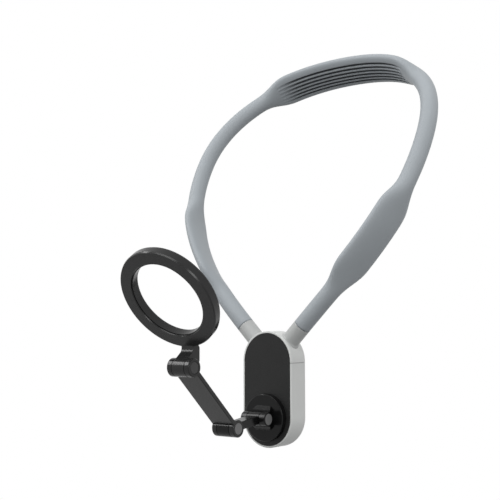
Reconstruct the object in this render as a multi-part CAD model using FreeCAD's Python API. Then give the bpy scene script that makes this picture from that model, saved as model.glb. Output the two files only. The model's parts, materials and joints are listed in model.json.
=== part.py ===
import FreeCAD, Part
import math
import os

V = FreeCAD.Vector

# Sizes in millimetres, angles in degrees.
# The part hangs on the neck: +Z is up, +Y points back to the neck, and the arm reaches out along -Y.
# Everything is drawn about the swivel axis at the plate's front face, then moved so that the origin
# lies in the middle of the nape pad's ribbed face, where it rests on the neck.

# Neck band: one bendable silicone moulding, round between its three flat pads
tube_radius = 5.0
pad_width = 22.8
pad_thickness = 7.5
pad_squareness = 2.5  # 2 gives an oval section, more gives fuller edges
nape_pad_half = 45.0  # half the length of the nape pad at full width
nape_pad_taper = 20.0
collar_pad_at = 62.8  # from the ferrule's end along the band to the middle of a collar pad
collar_pad_half = 18.0
collar_pad_taper = 19.0
groove_count = 6
groove_pitch = 2.65
groove_depth = 1.4
groove_half = 39.0  # half the length of the grooves at full depth
groove_fade = 9.0
nape_roll = 54.0  # how far the nape pad leans from upright
shoulder_half_width = 78.3
shoulder_back = 40.0
shoulder_height = 153.2
shoulder_lean = 30.7  # of the band's run at the shoulder, back from upright
nape_back = 90.8
nape_height = 212.6
ferrule_pull = 44.0  # how far the band runs on along its direction at each of these places
shoulder_pull_down = 50.0
shoulder_pull_up = 40.0
nape_pull = 52.0
rows_per_curve = 15
round_face_steps = 8

# Front plate and housing: an upright pill with two round ends
plate_radius = 15.8
end_spacing = 31.0  # from the centre of the lower round end up to that of the upper one
plate_thickness = 2.4
plate_gap = 0.08
rim_width = 1.1
housing_depth = 15.3
side_wall = 2.0
back_wall = 2.2
back_edge_radius = 3.5
rim_edge_radius = 0.5
seam_gap = 0.16
seam_drop = 0.7  # below the centre of the upper round end

# Screws that hold the two halves of the housing to posts behind the plate
screw_radius = 1.0
screw_length = 7.0
screw_head_radius = 1.9
screw_head_height = 1.2
screw_head_depth = 1.3  # of the hole that the head sits in
screw_slot_width = 0.6
screw_slot_depth = 0.5
post_wall = 1.3
top_screw_rise = 11.0
mid_screw_spread = 10.5
mid_screw_height = 21.0
low_screw_drop = 11.6
fit_gap = 0.05  # round a screw, a plug or a thread

# Ferrules that join the band to the upper half of the housing
ferrule_angle = 45.0
ferrule_reach = 28.0  # from the centre of the upper round end to where the silicone starts
ferrule_radius = 5.0
ferrule_edge = 0.5
band_depth = 6.5  # of the band's middle behind the plate's face
spigot_radius = 1.9
nut_radius = 2.7
nut_thickness = 2.0
nut_clear = 0.1
plug_radius = 2.95
plug_length = 5.8
socket_spare = 0.2

# Swivel: a disc that stands out from a recess in the plate, on a shaft that turns in the plate's hub
disc_radius = 13.0
disc_stand = 3.4
disc_edge = 0.5
disc_gap = 0.1
disc_recess = 0.9
shaft_radius = 4.0
turning_gap = 0.05
hub_wall = 2.0
hub_length = 4.4
end_play = 0.05
swivel_washer_radius = 5.8
swivel_washer_thickness = 0.6
swivel_screw_radius = 1.5
swivel_screw_length = 5.0
swivel_head_radius = 2.8
swivel_head_height = 1.8

# Hinges: a middle knuckle between two ears, with a washer on each side and a screw through all
pin_radius = 1.5
head_radius = 3.1
head_height = 1.0
head_edge = 0.3
head_gap = 0.1
middle_width = 8.0
washer_thickness = 0.3
washer_margin = 0.4  # the washers are this much smaller than the barrels
side_play = 0.05
slot_gap = 0.5  # between a middle knuckle and the bottom of its slot
socket_width = 2.0  # across the flats of the hexagon in each nut
socket_depth = 0.6
ear_edge = 0.6  # rounding of the ears' outer ends
barrel_1 = 3.9
barrel_2 = 4.6
barrel_3 = 4.8

# Swivel bracket, short link and long arm
hinge_1_reach = 9.6
bracket_width = 16.8
foot_height = 9.4
foot_width = 9.8  # where the foot meets the disc; it is as wide as the ears at the hinge
foot_spread = 2.0  # how much further the foot reaches up and down where it meets the disc
link_length = 25.3
link_angle = -6.9  # above the outward level
link_thickness = 4.4
bar_edge = 0.4  # rounding along the link's and the arm's bars
arm_length = 48.6
arm_angle = 43.2
arm_width = 14.8
arm_thickness = 2.4

# Ring that holds a phone by its magnets
ring_angle = 34.5  # of the ring's face from upright
ring_outer = 28.4
ring_inner = 20.9
ring_thickness = 4.7
ring_edge = 0.7
ring_step_width = 0.8
ring_step_depth = 0.8
ring_wall = 1.5
ring_front_wall = 1.3
ring_drop = 35.0  # from the ring's centre down its face to hinge 3
ring_set_back = 8.3  # from hinge 3 back to the ring's front face
neck_width = 8.0
neck_top = 26.2  # below the ring's centre, where the neck leaves the front face
neck_bend_drop = 29.7  # likewise, where it turns forward to its knuckle
neck_bend_out = 1.2  # in front of the ring's face at that bend
neck_rear_drop = 31.2  # where its rear turns forward
neck_heel_drop = 37.0  # the lower corner below the ring's front face
neck_edge = 0.4
pad_margin = 0.6
ring_pad_thickness = 1.5
ring_pad_edge = 0.4
shield_thickness = 0.8
shield_gap = 0.1
magnet_count = 16
magnet_length = 7.0
magnet_depth = 3.8
magnet_thickness = 2.4

housing_radius = plate_radius + rim_width
slot_width = middle_width + 2 * (washer_thickness + side_play)
pin_hole = pin_radius + turning_gap
upper_centre = V(0, band_depth, end_spacing)
beyond = 2 * housing_depth


def along_x(radius, low, high):
    return Part.makeCylinder(radius, high - low, V(low, 0, 0), V(1, 0, 0))


def along_y(radius, front, back, x=0, z=0):
    return Part.makeCylinder(radius, back - front, V(x, front, z), V(0, 1, 0))


def block(x_half, front, back, low, high):
    return Part.makeBox(2 * x_half, back - front, high - low, V(-x_half, front, low))


def extruded_in_x(corners, x_half):
    """A solid with this outline of (y, z) corners, as far to the left as to the right."""
    outline = Part.makePolygon([V(-x_half, y, z) for y, z in corners + corners[:1]])
    return Part.Face(outline).extrude(V(2 * x_half, 0, 0))


def edges_in_plane(solid, axis, value):
    found = []
    for edge in solid.Edges:
        box = edge.BoundBox
        low = getattr(box, axis + "Min")
        high = getattr(box, axis + "Max")
        if abs(low - value) < 0.001 and abs(high - value) < 0.001:
            found.append(edge)
    return found


# Neck band


def smooth_step(x):
    x = min(max(x, 0), 1)
    return x * x * (3 - 2 * x)


def flat_top(distance, half, taper):
    """1 within half of the middle, falling to 0 over the taper."""
    return smooth_step((half + taper - abs(distance)) / taper)


def cubic(a, b, c, d, t):
    s = 1 - t
    point = a * s**3 + b * (3 * s * s * t) + c * (3 * s * t * t) + d * t**3
    slope = (b - a) * (s * s) + (c - b) * (2 * s * t) + (d - c) * (t * t)
    return point, slope.normalize()


def ferrule_direction():
    turn = math.radians(ferrule_angle)
    return V(math.sin(turn), 0, math.cos(turn))


def half_centreline():
    """Points and directions from the nape round to the right ferrule."""
    lean = math.radians(shoulder_lean)
    rise = V(0, math.sin(lean), math.cos(lean))
    out = ferrule_direction()
    nape = V(0, nape_back, nape_height)
    shoulder = V(shoulder_half_width, shoulder_back, shoulder_height)
    start = upper_centre + out * ferrule_reach
    upper = (nape, nape + V(nape_pull, 0, 0), shoulder + rise * shoulder_pull_up, shoulder)
    lower = (shoulder, shoulder - rise * shoulder_pull_down, start + out * ferrule_pull, start)
    line = [cubic(*upper, step / rows_per_curve) for step in range(rows_per_curve + 1)]
    line += [cubic(*lower, step / rows_per_curve) for step in range(1, rows_per_curve + 1)]
    return line


def carried(width, point, direction, next_point, next_direction):
    """The width direction carried to the next point without twist, by two reflections."""
    step = next_point - point
    size = step.dot(step)
    width = width - step * (2 * step.dot(width) / size)
    direction = direction - step * (2 * step.dot(direction) / size)
    turn = next_direction - direction
    if turn.Length > 0:
        width = width - turn * (2 * turn.dot(width) / turn.dot(turn))
    return width


def section_angles():
    """Angles round a section, with whether a groove lies there; the ribbed face comes first."""
    angles = []
    steps = 2 * groove_count
    for step in range(steps, -steps - 1, -1):
        share = step * groove_pitch / 2 / pad_width
        cosine = math.copysign(abs(share) ** (pad_squareness / 2), share)
        angles.append((math.acos(cosine), (step - steps) % 4 == 2))
    edge = angles[0][0] / 2
    angles.append((math.pi - edge, False))
    for step in range(round_face_steps + 1):
        angles.append((math.pi * (1 + step / round_face_steps), False))
    angles.append((edge, False))
    return angles


def power(value, exponent):
    return math.copysign(abs(value) ** exponent, value)


def half_rows():
    """Rows of control points from the nape to the right ferrule."""
    roll = math.radians(nape_roll)
    width = V(0, -math.sin(roll), math.cos(roll))
    line = half_centreline()
    lengths = [0]
    for (point, _), (next_point, _) in zip(line, line[1:]):
        lengths.append(lengths[-1] + (next_point - point).Length)
    rows = []
    for place, (point, direction) in enumerate(line):
        if place:
            width = carried(width, *line[place - 1], point, direction)
        inward = direction.cross(width)
        from_nape = lengths[place]
        from_ferrule = lengths[-1] - from_nape
        nape = flat_top(from_nape, nape_pad_half, nape_pad_taper)
        collar = flat_top(from_ferrule - collar_pad_at, collar_pad_half, collar_pad_taper)
        share = max(nape, collar)
        half_width = tube_radius + (pad_width / 2 - tube_radius) * share
        half_thick = tube_radius + (pad_thickness / 2 - tube_radius) * share
        exponent = 2 / (2 + (pad_squareness - 2) * share)
        # a lone control point pulls a cubic by two thirds, so a groove's point is set half as deep again
        sunk = 1.5 * groove_depth * flat_top(from_nape, groove_half, groove_fade)
        row = []
        for angle, grooved in section_angles():
            across = half_width * power(math.cos(angle), exponent)
            deep = half_thick * power(math.sin(angle), exponent)
            if grooved:
                deep -= sunk
            row.append(point + width * across + inward * deep)
        rows.append(row)
    return rows


def mirrored(point):
    return V(-point.x, point.y, point.z)


def band_surface():
    right = half_rows()
    left = [[mirrored(point) for point in row] for row in right[:0:-1]]
    rows = left + right
    around = len(rows[0])
    spans = len(rows) - 3
    surface = Part.BSplineSurface()
    ends = [4] + [1] * (spans - 1) + [4]
    surface.buildFromPolesMultsKnots(
        rows, ends, [1] * (around + 1), list(range(spans + 1)), list(range(around + 1)), False, True, 3, 3
    )
    return surface, spans, around


def neck_band():
    surface, spans, around = band_surface()
    faces = []
    lengthwise = [round(spans * step / 12) for step in range(13)]
    crosswise = [0, around // 2, around]
    for first, last in zip(lengthwise, lengthwise[1:]):
        for low, high in zip(crosswise, crosswise[1:]):
            patch = surface.copy()
            patch.segment(first, last, low, high)
            faces.append(patch.toShape())
    for end in (0, spans):
        faces.append(Part.Face(Part.Wire([surface.uIso(end).toShape()])))
    shell = Part.makeShell(faces)
    shell.sewShape()
    band = Part.makeSolid(shell)
    if band.Volume < 0:
        band.reverse()
    plug_near = ferrule_reach - plug_length
    return band.fuse([from_upper_centre(plug_radius, plug_near, ferrule_reach, side) for side in (-1, 1)])


# Ferrules


def from_upper_centre(radius, near, far, side):
    """A round bar along a ferrule's axis, from near to far of the upper round end's centre."""
    out = ferrule_direction()
    out.x *= side
    return Part.makeCylinder(radius, far - near, upper_centre + out * near, out)


def nut_far():
    """Where a ferrule's nut meets the round inner wall."""
    inner = housing_radius - side_wall
    return math.sqrt(inner**2 - nut_radius**2) - nut_clear


def ferrule(side):
    body = from_upper_centre(ferrule_radius, ferrule_reach / 2, ferrule_reach, side)
    body = body.makeFillet(ferrule_edge, [max(body.Edges, key=lambda edge: edge.CenterOfMass.z)])
    body = body.cut(housing_outside())
    spigot_near = nut_far() - nut_thickness - spigot_radius / 4
    body = body.fuse(from_upper_centre(spigot_radius, spigot_near, housing_radius + ferrule_edge, side))
    socket_near = ferrule_reach - plug_length - socket_spare
    return body.cut(from_upper_centre(plug_radius + fit_gap, socket_near, ferrule_reach, side))


def ferrule_nuts():
    nuts = []
    for side in (-1, 1):
        nut = from_upper_centre(nut_radius, nut_far() - nut_thickness, nut_far(), side)
        nuts.append(nut.cut(from_upper_centre(spigot_radius + fit_gap, 0, ferrule_reach, side)))
    return Part.makeCompound(nuts)


# Housing, plate and their screws


def pill(radius, front, back):
    """An upright pill with its round ends about the swivel axis and end_spacing above it."""
    top = end_spacing
    lower = Part.Arc(V(-radius, front, 0), V(0, front, -radius), V(radius, front, 0))
    right = Part.LineSegment(V(radius, front, 0), V(radius, front, top))
    upper = Part.Arc(V(radius, front, top), V(0, front, top + radius), V(-radius, front, top))
    left = Part.LineSegment(V(-radius, front, top), V(-radius, front, 0))
    outline = Part.Wire([edge.toShape() for edge in (lower, right, upper, left)])
    return Part.Face(outline).extrude(V(0, back - front, 0))


def housing_outside():
    body = pill(housing_radius, 0, housing_depth)
    body = body.makeFillet(back_edge_radius, edges_in_plane(body, "Y", housing_depth))
    return body.makeFillet(rim_edge_radius, edges_in_plane(body, "Y", 0))


def screw_places():
    return [
        (0, end_spacing + top_screw_rise),
        (-mid_screw_spread, mid_screw_height),
        (mid_screw_spread, mid_screw_height),
        (0, -low_screw_drop),
    ]


def housing():
    floor = housing_depth - back_wall
    seat = housing_depth - screw_head_depth
    body = housing_outside()
    body = body.cut(pill(plate_radius + plate_gap, 0, plate_thickness))
    body = body.cut(pill(housing_radius - side_wall, plate_thickness, floor))
    for x, z in screw_places():
        body = body.cut(along_y(screw_radius + fit_gap, floor, housing_depth, x, z))
        body = body.cut(along_y(screw_head_radius + head_gap, seat, housing_depth, x, z))
    for side in (-1, 1):
        body = body.cut(from_upper_centre(spigot_radius + fit_gap, plate_radius / 2, beyond, side))
    return body


def housing_halves():
    whole = housing()
    split_top = end_spacing - seam_drop + seam_gap / 2
    split_low = split_top - seam_gap
    above = block(beyond, -beyond, beyond, split_top, split_top + 2 * beyond)
    below = block(beyond, -beyond, beyond, split_low - 4 * beyond, split_low)
    return whole.common(above), whole.common(below)


def front_plate():
    rear = plate_thickness + hub_length
    hub_radius = shaft_radius + turning_gap + hub_wall
    plate = pill(plate_radius, 0, plate_thickness)
    plate = plate.fuse(along_y(hub_radius, disc_recess, rear))
    for x, z in screw_places():
        post_end = housing_depth - back_wall
        plate = plate.fuse(along_y(screw_radius + fit_gap + post_wall, plate_thickness, post_end, x, z))
        hole_end = housing_depth - screw_head_depth - screw_length - screw_radius
        plate = plate.cut(along_y(screw_radius + fit_gap, hole_end, post_end, x, z))
    plate = plate.cut(along_y(disc_radius + disc_gap, 0, disc_recess))
    return plate.cut(along_y(shaft_radius + turning_gap, 0, rear))


def screw_slot(radius, front, back):
    return block(radius, front, back, -screw_slot_width / 2, screw_slot_width / 2)


def housing_screws():
    screws = []
    seat = housing_depth - screw_head_depth
    for x, z in screw_places():
        screw = along_y(screw_head_radius, seat, seat + screw_head_height, x, z)
        screw = screw.fuse(along_y(screw_radius, seat - screw_length, seat, x, z))
        slot_front = seat + screw_head_height - screw_slot_depth
        slot = screw_slot(screw_head_radius, slot_front, housing_depth)
        slot.translate(V(x, 0, z))
        screws.append(screw.cut(slot))
    return Part.makeCompound(screws)


# Swivel


def shaft_end():
    return plate_thickness + hub_length + end_play


def foot_plan(half, axis, height):
    """What the foot keeps seen from above: it narrows from the hinge to the disc."""
    base = foot_width / 2
    right = [(half, axis), (base, -disc_stand), (base, 0)]
    left = [(-x, y) for x, y in reversed(right)]
    outline = Part.makePolygon([V(x, y, -height) for x, y in right + left + right[:1]])
    return Part.Face(outline).extrude(V(0, 0, 2 * height))


def swivel_bracket():
    """The disc, its shaft and the two ears of hinge 1, cast in one."""
    axis = -hinge_1_reach
    half = bracket_width / 2
    bracket = along_y(disc_radius, -disc_stand, disc_recess - end_play)
    bracket = bracket.makeFillet(disc_edge, edges_in_plane(bracket, "Y", -disc_stand))
    bracket = bracket.fuse(along_y(shaft_radius, 0, shaft_end()))
    foot_front = -disc_stand - foot_spread
    near = foot_height / 2
    far = near + foot_spread
    upper = [(foot_front, near), (-disc_stand, far), (0, far)]
    lower = [(0, -far), (-disc_stand, -far), (foot_front, -near)]
    foot = extruded_in_x(lower + upper, half)
    ears = block(half, axis, foot_front, -barrel_1, barrel_1)
    foot = foot.fuse(ears).common(foot_plan(half, axis, far))
    barrel = rounded_barrel(barrel_1, half)
    barrel.translate(V(0, axis, 0))
    bracket = bracket.fuse([foot, barrel]).removeSplitter()
    slot = along_x(barrel_1 + slot_gap, -slot_width / 2, slot_width / 2)
    slot.translate(V(0, axis, 0))
    mouth = block(slot_width / 2, axis - foot_height, axis, -foot_height, foot_height)
    holes = pin_holes(half)
    holes.translate(V(0, axis, 0))
    bracket = bracket.cut(slot.fuse(mouth)).cut(holes)
    hole_end = shaft_end() - swivel_screw_length - fit_gap
    return bracket.cut(along_y(swivel_screw_radius + fit_gap, hole_end, shaft_end()))


def swivel_washer():
    rear = shaft_end() + swivel_washer_thickness
    washer = along_y(swivel_washer_radius, shaft_end(), rear)
    return washer.cut(along_y(swivel_screw_radius + fit_gap, shaft_end(), rear))


def swivel_screw():
    seat = shaft_end() + swivel_washer_thickness
    screw = along_y(swivel_head_radius, seat, seat + swivel_head_height)
    screw = screw.fuse(along_y(swivel_screw_radius, shaft_end() - swivel_screw_length, seat))
    rear = seat + swivel_head_height
    return screw.cut(screw_slot(swivel_head_radius, rear - screw_slot_depth, rear))


# Hinge pieces, drawn about their own axis


def rounded_barrel(barrel, half):
    body = along_x(barrel, -half, half)
    return body.makeFillet(ear_edge, edges_in_plane(body, "X", -half) + edges_in_plane(body, "X", half))


def pin_holes(half):
    """The hole through both ears, with a round recess for the head and for the nut."""
    recess = head_radius + head_gap
    hole = along_x(pin_hole, -half, half)
    return hole.fuse([along_x(recess, half - head_height, half), along_x(recess, -half, head_height - half)])


def hinge_screw(half):
    head = along_x(head_radius, half - head_height, half)
    head = head.makeFillet(head_edge, edges_in_plane(head, "X", half))
    return head.fuse(along_x(pin_radius, head_height / 2 - half, half - head_height))


def hinge_nut(half):
    nut = along_x(head_radius, -half, head_height - half)
    nut = nut.makeFillet(head_edge, edges_in_plane(nut, "X", -half))
    nut = nut.cut(along_x(pin_radius + fit_gap, head_height / 2 - half, head_height - half))
    corner = socket_width / math.sqrt(3)
    turns = [math.radians(60 * step) for step in range(7)]
    hexagon = Part.makePolygon([V(-half, corner * math.cos(turn), corner * math.sin(turn)) for turn in turns])
    return nut.cut(Part.Face(hexagon).extrude(V(min(socket_depth, head_height / 2), 0, 0)))


def hinge_washers(barrel):
    washers = []
    for side in (-1, 1):
        outside = side * slot_width / 2
        inside = outside - side * washer_thickness
        low, high = min(outside, inside), max(outside, inside)
        washer = along_x(barrel - washer_margin, low, high)
        washers.append(washer.cut(along_x(pin_hole, low, high)))
    return Part.makeCompound(washers)


# Link and arm, drawn outward along -Y from their first hinge


def moved_out(shape, distance):
    shape.translate(V(0, -distance, 0))
    return shape


def bar(half, length, thickness):
    """A flat bar with its four long edges rounded."""
    body = block(half, -length, 0, -thickness / 2, thickness / 2)
    long_edges = [edge for edge in body.Edges if edge.BoundBox.YLength > length / 2]
    return body.makeFillet(bar_edge, long_edges)


def short_link():
    half = middle_width / 2
    link = bar(half, link_length, link_thickness)
    link = link.fuse([along_x(barrel_1, -half, half), moved_out(along_x(barrel_2, -half, half), link_length)])
    link = link.cut(along_x(pin_hole, -half, half))
    return link.cut(moved_out(along_x(pin_hole, -half, half), link_length)).removeSplitter()


def long_arm():
    half = arm_width / 2
    arm = bar(half, arm_length, arm_thickness)
    arm = arm.fuse([rounded_barrel(barrel_2, half), moved_out(rounded_barrel(barrel_3, half), arm_length)])
    arm = arm.removeSplitter()
    for barrel, distance in ((barrel_2, 0), (barrel_3, arm_length)):
        slot = along_x(barrel + slot_gap, -slot_width / 2, slot_width / 2)
        arm = arm.cut(moved_out(slot, distance))
        arm = arm.cut(moved_out(pin_holes(half), distance))
    return arm


# Ring, drawn upright about its centre with its front face at y = 0


def turned(points):
    """A ring with this outline of (radius, depth) points."""
    outline = Part.makePolygon([V(radius, depth, 0) for radius, depth in points + points[:1]])
    return Part.Face(outline).revolve(V(0, 0, 0), V(0, 1, 0), 360)


def ring_channel():
    low = ring_inner + ring_wall
    high = ring_outer - ring_wall
    return low, high


def ring_neck():
    """From the bottom of the ring down, then forward to the knuckle of hinge 3."""
    half = neck_width / 2
    rear = ring_thickness - ring_edge
    web = extruded_in_x(
        [
            (ring_edge, -neck_top),
            (-neck_bend_out, -neck_bend_drop),
            (-ring_set_back, barrel_3 - ring_drop),
            (-ring_set_back, -barrel_3 - ring_drop),
            (0, -neck_heel_drop),
            (rear, -neck_rear_drop),
            (rear, -neck_top),
        ],
        half,
    )
    sides = edges_in_plane(web, "X", -half) + edges_in_plane(web, "X", half)
    knuckle = V(0, -ring_set_back, -ring_drop)
    barrel = along_x(barrel_3, -middle_width / 2, middle_width / 2)
    barrel.translate(knuckle)
    hole = along_x(pin_hole, -middle_width / 2, middle_width / 2)
    hole.translate(knuckle)
    return web.makeFillet(neck_edge, sides).fuse(barrel).cut(hole)


def ring_frame():
    low, high = ring_channel()
    body = turned(
        [
            (ring_inner, ring_step_depth),
            (ring_inner + ring_step_width, ring_step_depth),
            (ring_inner + ring_step_width, 0),
            (ring_outer - ring_edge, 0),
            (ring_outer, ring_edge),
            (ring_outer, ring_thickness),
            (ring_inner, ring_thickness),
        ]
    )
    channel = turned(
        [(low, ring_front_wall), (high, ring_front_wall), (high, ring_thickness), (low, ring_thickness)]
    )
    return body.fuse(ring_neck()).cut(channel)


def ring_shield():
    low, high = ring_channel()
    rear = ring_front_wall + shield_thickness
    inner = low + shield_gap
    outer = high - shield_gap
    return turned([(inner, ring_front_wall), (outer, ring_front_wall), (outer, rear), (inner, rear)])


def ring_magnets():
    low, high = ring_channel()
    front = ring_front_wall + shield_thickness
    middle = (low + high) / 2
    magnets = []
    for place in range(magnet_count):
        rear = front + magnet_thickness
        magnet = block(magnet_length / 2, front, rear, -magnet_depth / 2, magnet_depth / 2)
        magnet.translate(V(0, 0, middle))
        magnet.rotate(V(0, 0, 0), V(0, 1, 0), 360 * (place + 0.5) / magnet_count)
        magnets.append(magnet)
    return Part.makeCompound(magnets)


def ring_pad():
    inner = ring_inner + pad_margin
    outer = ring_outer - pad_margin
    rear = ring_thickness + ring_pad_thickness
    return turned(
        [
            (inner, ring_thickness),
            (outer, ring_thickness),
            (outer, rear - ring_pad_edge),
            (outer - ring_pad_edge, rear),
            (inner + ring_pad_edge, rear),
            (inner, rear - ring_pad_edge),
        ]
    )


# Assembly


def outward(angle, length):
    turn = math.radians(angle)
    return V(0, -math.cos(turn) * length, math.sin(turn) * length)


hinge_1 = V(0, -hinge_1_reach, 0)
hinge_2 = hinge_1 + outward(link_angle, link_length)
hinge_3 = hinge_2 + outward(arm_angle, arm_length)


def placed(shape, angle, place):
    """Turned to this angle above the outward level, then moved to its place."""
    shape.rotate(V(0, 0, 0), V(1, 0, 0), -angle)
    shape.translate(place)
    return shape


def on_ring(shape):
    shape.translate(V(0, ring_set_back, ring_drop))
    return placed(shape, -ring_angle, hinge_3)


def pieces():
    upper_half, lower_half = housing_halves()
    bracket_half = bracket_width / 2
    arm_half = arm_width / 2
    return {
        "neck_band": neck_band(),
        "ferrule_left": ferrule(-1),
        "ferrule_right": ferrule(1),
        "ferrule_nuts": ferrule_nuts(),
        "upper_housing": upper_half,
        "lower_housing": lower_half,
        "housing_screws": housing_screws(),
        "front_plate": front_plate(),
        "swivel_bracket": swivel_bracket(),
        "swivel_washer": swivel_washer(),
        "swivel_screw": swivel_screw(),
        "hinge_1_screw": placed(hinge_screw(bracket_half), 0, hinge_1),
        "hinge_1_nut": placed(hinge_nut(bracket_half), 0, hinge_1),
        "hinge_1_washers": placed(hinge_washers(barrel_1), 0, hinge_1),
        "short_link": placed(short_link(), link_angle, hinge_1),
        "long_arm": placed(long_arm(), arm_angle, hinge_2),
        "hinge_2_screw": placed(hinge_screw(arm_half), arm_angle, hinge_2),
        "hinge_2_nut": placed(hinge_nut(arm_half), arm_angle, hinge_2),
        "hinge_2_washers": placed(hinge_washers(barrel_2), arm_angle, hinge_2),
        "hinge_3_screw": placed(hinge_screw(arm_half), arm_angle, hinge_3),
        "hinge_3_nut": placed(hinge_nut(arm_half), arm_angle, hinge_3),
        "hinge_3_washers": placed(hinge_washers(barrel_3), arm_angle, hinge_3),
        "ring_frame": on_ring(ring_frame()),
        "ring_shield": on_ring(ring_shield()),
        "ring_magnets": on_ring(ring_magnets()),
        "ring_pad": on_ring(ring_pad()),
    }


def nape_rest():
    """The middle of the nape pad's ribbed face."""
    roll = math.radians(nape_roll)
    return V(0, nape_back, nape_height) - V(0, math.cos(roll), math.sin(roll)) * (pad_thickness / 2)


os.makedirs("parts", exist_ok=True)
to_origin = nape_rest() * -1
for name, shape in pieces().items():
    shape.translate(to_origin)
    shape.exportStep("parts/" + name + ".step")
    sound = shape.isValid() and all(solid.Volume > 0 for solid in shape.Solids)
    print(name, len(shape.Solids), round(shape.Volume, 2), "sound" if sound else "NOT SOUND")
for name, point in (("swivel", V(0, 0, 0)), ("hinge 1", hinge_1), ("hinge 2", hinge_2), ("hinge 3", hinge_3)):
    print(name, "at", [round(value, 4) for value in point + to_origin])
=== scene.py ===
import json
import math
import bmesh
import bpy
from mathutils import Euler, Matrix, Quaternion, Vector


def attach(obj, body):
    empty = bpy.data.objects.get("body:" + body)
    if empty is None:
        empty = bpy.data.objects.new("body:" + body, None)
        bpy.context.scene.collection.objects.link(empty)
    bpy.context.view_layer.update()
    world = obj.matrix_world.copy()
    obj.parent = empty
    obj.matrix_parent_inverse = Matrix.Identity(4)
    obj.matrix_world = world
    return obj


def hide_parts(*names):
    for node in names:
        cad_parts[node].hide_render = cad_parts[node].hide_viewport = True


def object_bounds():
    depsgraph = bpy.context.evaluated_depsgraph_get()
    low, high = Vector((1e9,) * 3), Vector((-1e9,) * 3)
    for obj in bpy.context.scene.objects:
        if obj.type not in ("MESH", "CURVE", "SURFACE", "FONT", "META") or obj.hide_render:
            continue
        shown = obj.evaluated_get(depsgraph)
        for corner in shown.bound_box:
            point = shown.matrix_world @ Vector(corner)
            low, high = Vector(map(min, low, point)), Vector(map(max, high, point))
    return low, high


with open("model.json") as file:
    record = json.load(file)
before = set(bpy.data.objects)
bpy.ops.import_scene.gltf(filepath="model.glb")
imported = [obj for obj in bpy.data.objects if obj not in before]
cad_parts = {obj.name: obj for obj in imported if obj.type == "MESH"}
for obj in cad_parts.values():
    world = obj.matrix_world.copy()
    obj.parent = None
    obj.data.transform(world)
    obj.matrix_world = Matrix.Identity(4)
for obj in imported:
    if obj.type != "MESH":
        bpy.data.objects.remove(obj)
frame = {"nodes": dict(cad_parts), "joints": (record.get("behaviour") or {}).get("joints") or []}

cadLow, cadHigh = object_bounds()
mm = 0.001
jointPlace = {joint["name"]: Vector(joint["pos_m"]) for joint in frame["joints"]}
swivelAt = jointPlace["swivel_turn"]  # on the swivel's axis, level with the plate's face
print("frame loaded:", len(frame["nodes"]), "nodes")

# camera, from the photo's own perspective
shot = {
    "place": swivelAt + Vector((350.1, -466.2, 54.67)) * mm,
    "azimuth": 37.83,  # degrees round from straight in front
    "aimUp": 3.80,
    "roll": 0.12,
    "lens": 74.74,
    "sensor": 36.0,
    "clip": (0.01, 50),
}


def addCamera():
    cameraData = bpy.data.cameras.new("shotCamera")
    cameraData.lens = shot["lens"]
    cameraData.sensor_width = shot["sensor"]
    cameraData.clip_start, cameraData.clip_end = shot["clip"]
    camera = bpy.data.objects.new("shotCamera", cameraData)
    bpy.context.scene.collection.objects.link(camera)
    camera.location = shot["place"]
    turn = (math.radians(90 + shot["aimUp"]), math.radians(shot["roll"]), math.radians(shot["azimuth"]))
    camera.rotation_euler = Euler(turn, "XYZ")
    bpy.context.scene.camera = camera


# soft studio: a dome that is bright overhead and dark below, a key from the upper left,
# a fill from the right and a wide lamp in front
studio = {
    "domeTop": 0.95,  # what the room gives to matt surfaces from overhead
    "domeLow": 0.08,  # and from below
    "floorDrop": 0.42,  # below the part, which hangs
    "floorRadius": 1.1,
    "floorSides": 128,
    "floorFade": (0.55, 1.078),  # between these radii the floor goes over into the white room
    "floorColour": (0.80, 0.80, 0.80, 1),
    "keyAt": Vector((-0.96, -0.68, 0.83)),
    "keySize": (0.18, 0.9),
    "keyRoll": 44,  # degrees, so that its length lies along the barrels' highlights
    "keyWatts": 6,
    "fillAt": Vector((1.15, -0.7, 0.35)),
    "fillSize": (0.4, 0.4),
    "fillRoll": 0,
    "fillWatts": 4,
    "frontAt": Vector((-0.02, -1.0, 0.97)),
    "frontSize": (1.0, 0.3),
    "frontRoll": 0,
    "frontWatts": 5,
}


def whiteRays(nodes, links):
    rays = nodes.new("ShaderNodeLightPath")
    seen = nodes.new("ShaderNodeMath")
    seen.operation = "MAXIMUM"
    links.new(rays.outputs["Is Camera Ray"], seen.inputs[0])
    links.new(rays.outputs["Is Glossy Ray"], seen.inputs[1])
    alsoThrough = nodes.new("ShaderNodeMath")
    alsoThrough.operation = "MAXIMUM"
    links.new(seen.outputs[0], alsoThrough.inputs[0])
    links.new(rays.outputs["Is Transmission Ray"], alsoThrough.inputs[1])
    return alsoThrough.outputs[0]


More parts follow.
